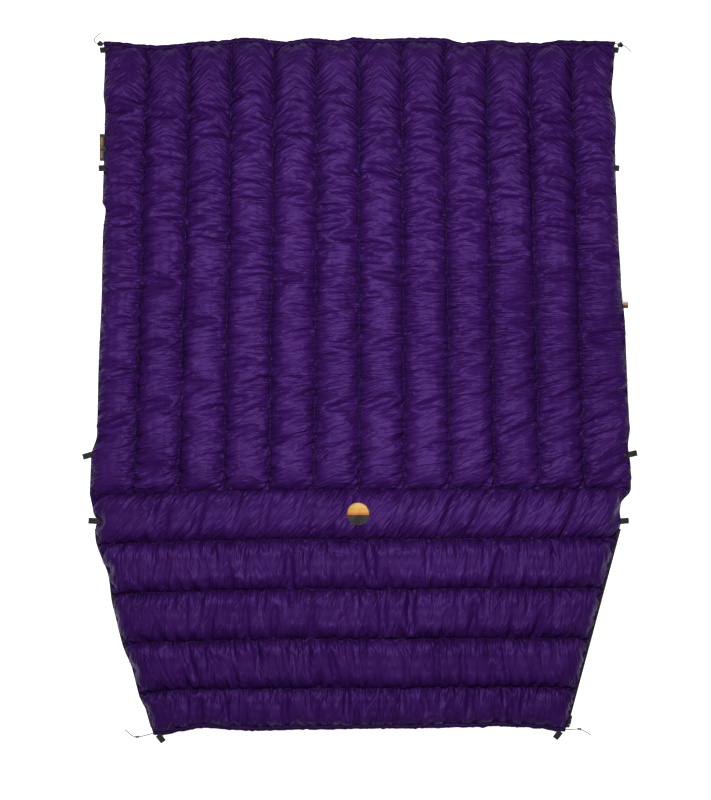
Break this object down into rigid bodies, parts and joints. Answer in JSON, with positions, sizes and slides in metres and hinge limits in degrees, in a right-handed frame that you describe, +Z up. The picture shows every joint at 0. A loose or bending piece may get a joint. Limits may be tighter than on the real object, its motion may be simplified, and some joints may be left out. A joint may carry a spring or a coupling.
{
  "type": "camp quilt",
  "caption": "Open, flat camping quilt with lengthwise body chambers, crosswise foot chambers, drawcords, pad loops and a foot zip.",
  "frame": {"origin": "on the floor, below the middle of the quilt's box measured without the free cords and their locks", "axes": "+Y from the foot to the head, +X to the right seen from above, +Z up from the lining to the outer cloth"},
  "size_m": [1.505, 1.9184, 0.0308],
  "materials": {
    "shell_nylon": "semi-gloss calendered nylon",
    "lining_nylon": "matt woven nylon",
    "insulation": "soft fibre",
    "grosgrain": "ribbed ribbon",
    "cord": "braided",
    "lock_plastic": "fine moulded grain",
    "spring_steel": "drawn wire",
    "snap": "smooth",
    "label_cloth": "woven label",
    "patch_cloth": "embroidered",
    "zip_tape": "woven tape",
    "zip_coil": "satin",
    "zip_metal": "satin black paint"
  },
  "bodies": {
    "quilt": {"body_fill_01": "insulation", "body_fill_02": "insulation", "body_fill_03": "insulation", "body_fill_04": "insulation", "body_fill_05": "insulation", "body_fill_06": "insulation", "body_fill_07": "insulation", "body_fill_08": "insulation", "body_fill_09": "insulation", "body_fill_10": "insulation", "body_fill_11": "insulation", "body_fill_12": "insulation", "foot_channel": "shell_nylon", "foot_cord_left": "cord", "foot_cord_right": "cord", "foot_drawcord": "cord", "foot_fill_1": "insulation", "foot_fill_2": "insulation", "foot_fill_3": "insulation", "foot_fill_4": "insulation", "foot_fill_5": "insulation", "foot_knot_left": "cord", "foot_knot_right": "cord", "foot_tab_left": "grosgrain", "foot_tab_right": "grosgrain", "head_channel": "shell_nylon", "head_cord_left": "cord", "head_cord_right": "cord", "head_drawcord": "cord", "head_tab_left": "grosgrain", "head_tab_right": "grosgrain", "lining": "lining_nylon", "outer_shell_body": "shell_nylon", "outer_shell_foot": "shell_nylon", "pad_loops_left": "grosgrain", "pad_loops_right": "grosgrain", "round_patch": "patch_cloth", "side_label": "label_cloth", "small_tag": "label_cloth", "snap_post_left": "snap", "snap_post_right": "snap", "snap_socket_right": "snap", "snap_stud_left": "snap", "zip_coil_left": "zip_coil", "zip_coil_right": "zip_coil", "zip_insertion_pin": "zip_coil", "zip_retainer_box": "zip_coil", "zip_tape_left": "zip_tape", "zip_tape_right": "zip_tape", "zip_top_stops": "zip_metal"},
    "cord_lock_left": {"cord_lock_left": "lock_plastic", "lock_spring_left": "spring_steel"},
    "lock_plunger_left": {"lock_plunger_left": "lock_plastic"},
    "cord_lock_right": {"cord_lock_right": "lock_plastic", "lock_spring_right": "spring_steel"},
    "lock_plunger_right": {"lock_plunger_right": "lock_plastic"},
    "zip_slider": {"zip_slider": "zip_metal"},
    "zip_pull": {"zip_pull": "zip_metal"}
  },
  "joints": [
    {"name": "cord_lock_left_slide", "type": "slide", "parent": "quilt", "child": "cord_lock_left", "axis": [-0.9999, -0.0154, 0], "range_m": [-0.001, 0.006], "deforming": ["head_cord_left"]},
    {"name": "lock_plunger_left_press", "type": "slide", "parent": "cord_lock_left", "child": "lock_plunger_left", "axis": [0.0154, -0.9999, 0], "range_m": [0, 0.0024], "stiffness_N_per_m": 200, "springref_m": -0.003, "deforming": ["lock_spring_left"]},
    {"name": "cord_lock_right_slide", "type": "slide", "parent": "quilt", "child": "cord_lock_right", "axis": [0.9749, -0.2228, 0], "range_m": [-0.006, 0.008], "deforming": ["head_cord_right"]},
    {"name": "lock_plunger_right_press", "type": "slide", "parent": "cord_lock_right", "child": "lock_plunger_right", "axis": [-0.2228, -0.9749, 0], "range_m": [0, 0.0024], "stiffness_N_per_m": 200, "springref_m": -0.003, "deforming": ["lock_spring_right"]},
    {"name": "zip_slider_slide", "type": "slide", "parent": "quilt", "child": "zip_slider", "axis": [0.2591, 0.9658, 0], "range_m": [0, 0.53]},
    {"name": "zip_pull_swing", "type": "hinge", "parent": "zip_slider", "child": "zip_pull", "pos_m": [0.56939, -0.89765, 0.007], "axis": [0.9658, -0.2591, 0], "range_deg": [0, 175]}
  ]
}
